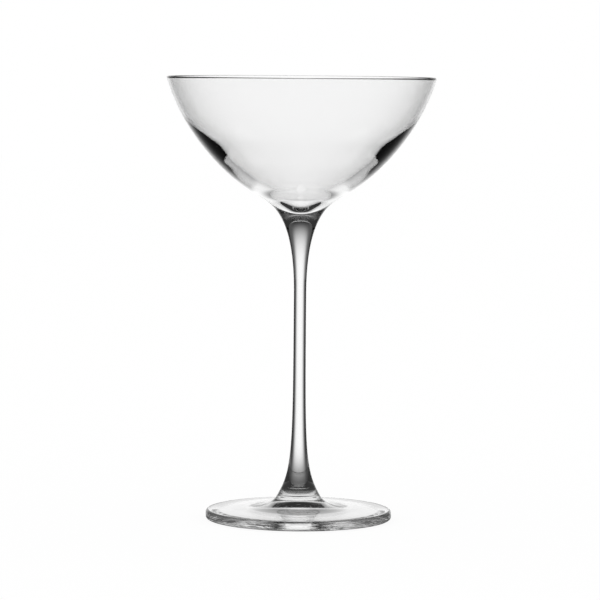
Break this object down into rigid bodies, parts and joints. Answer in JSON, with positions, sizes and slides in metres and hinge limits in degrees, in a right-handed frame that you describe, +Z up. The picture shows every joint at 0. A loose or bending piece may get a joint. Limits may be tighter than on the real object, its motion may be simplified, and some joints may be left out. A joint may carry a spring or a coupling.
{
  "type": "cocktail coupe",
  "caption": "Clear stemmed cocktail glass: a wide shallow flaring bowl with a thick base, fused to a slim drawn stem and a flat round foot, for drinks served without ice.",
  "frame": {"origin": "middle of the foot's underside, on the table", "axes": "+Z up along the axis that every piece is turned about, X and Y square to it in any direction"},
  "size_m": [0.105, 0.105, 0.173],
  "materials": {
    "bowl_glass": "fire polished, clear and colourless",
    "stem_glass": "drawn, clear and colourless",
    "foot_glass": "pressed and fire polished, clear and colourless"
  },
  "bodies": {
    "root": {"bowl": "bowl_glass", "stem": "stem_glass", "foot": "foot_glass"}
  },
  "joints": []
}
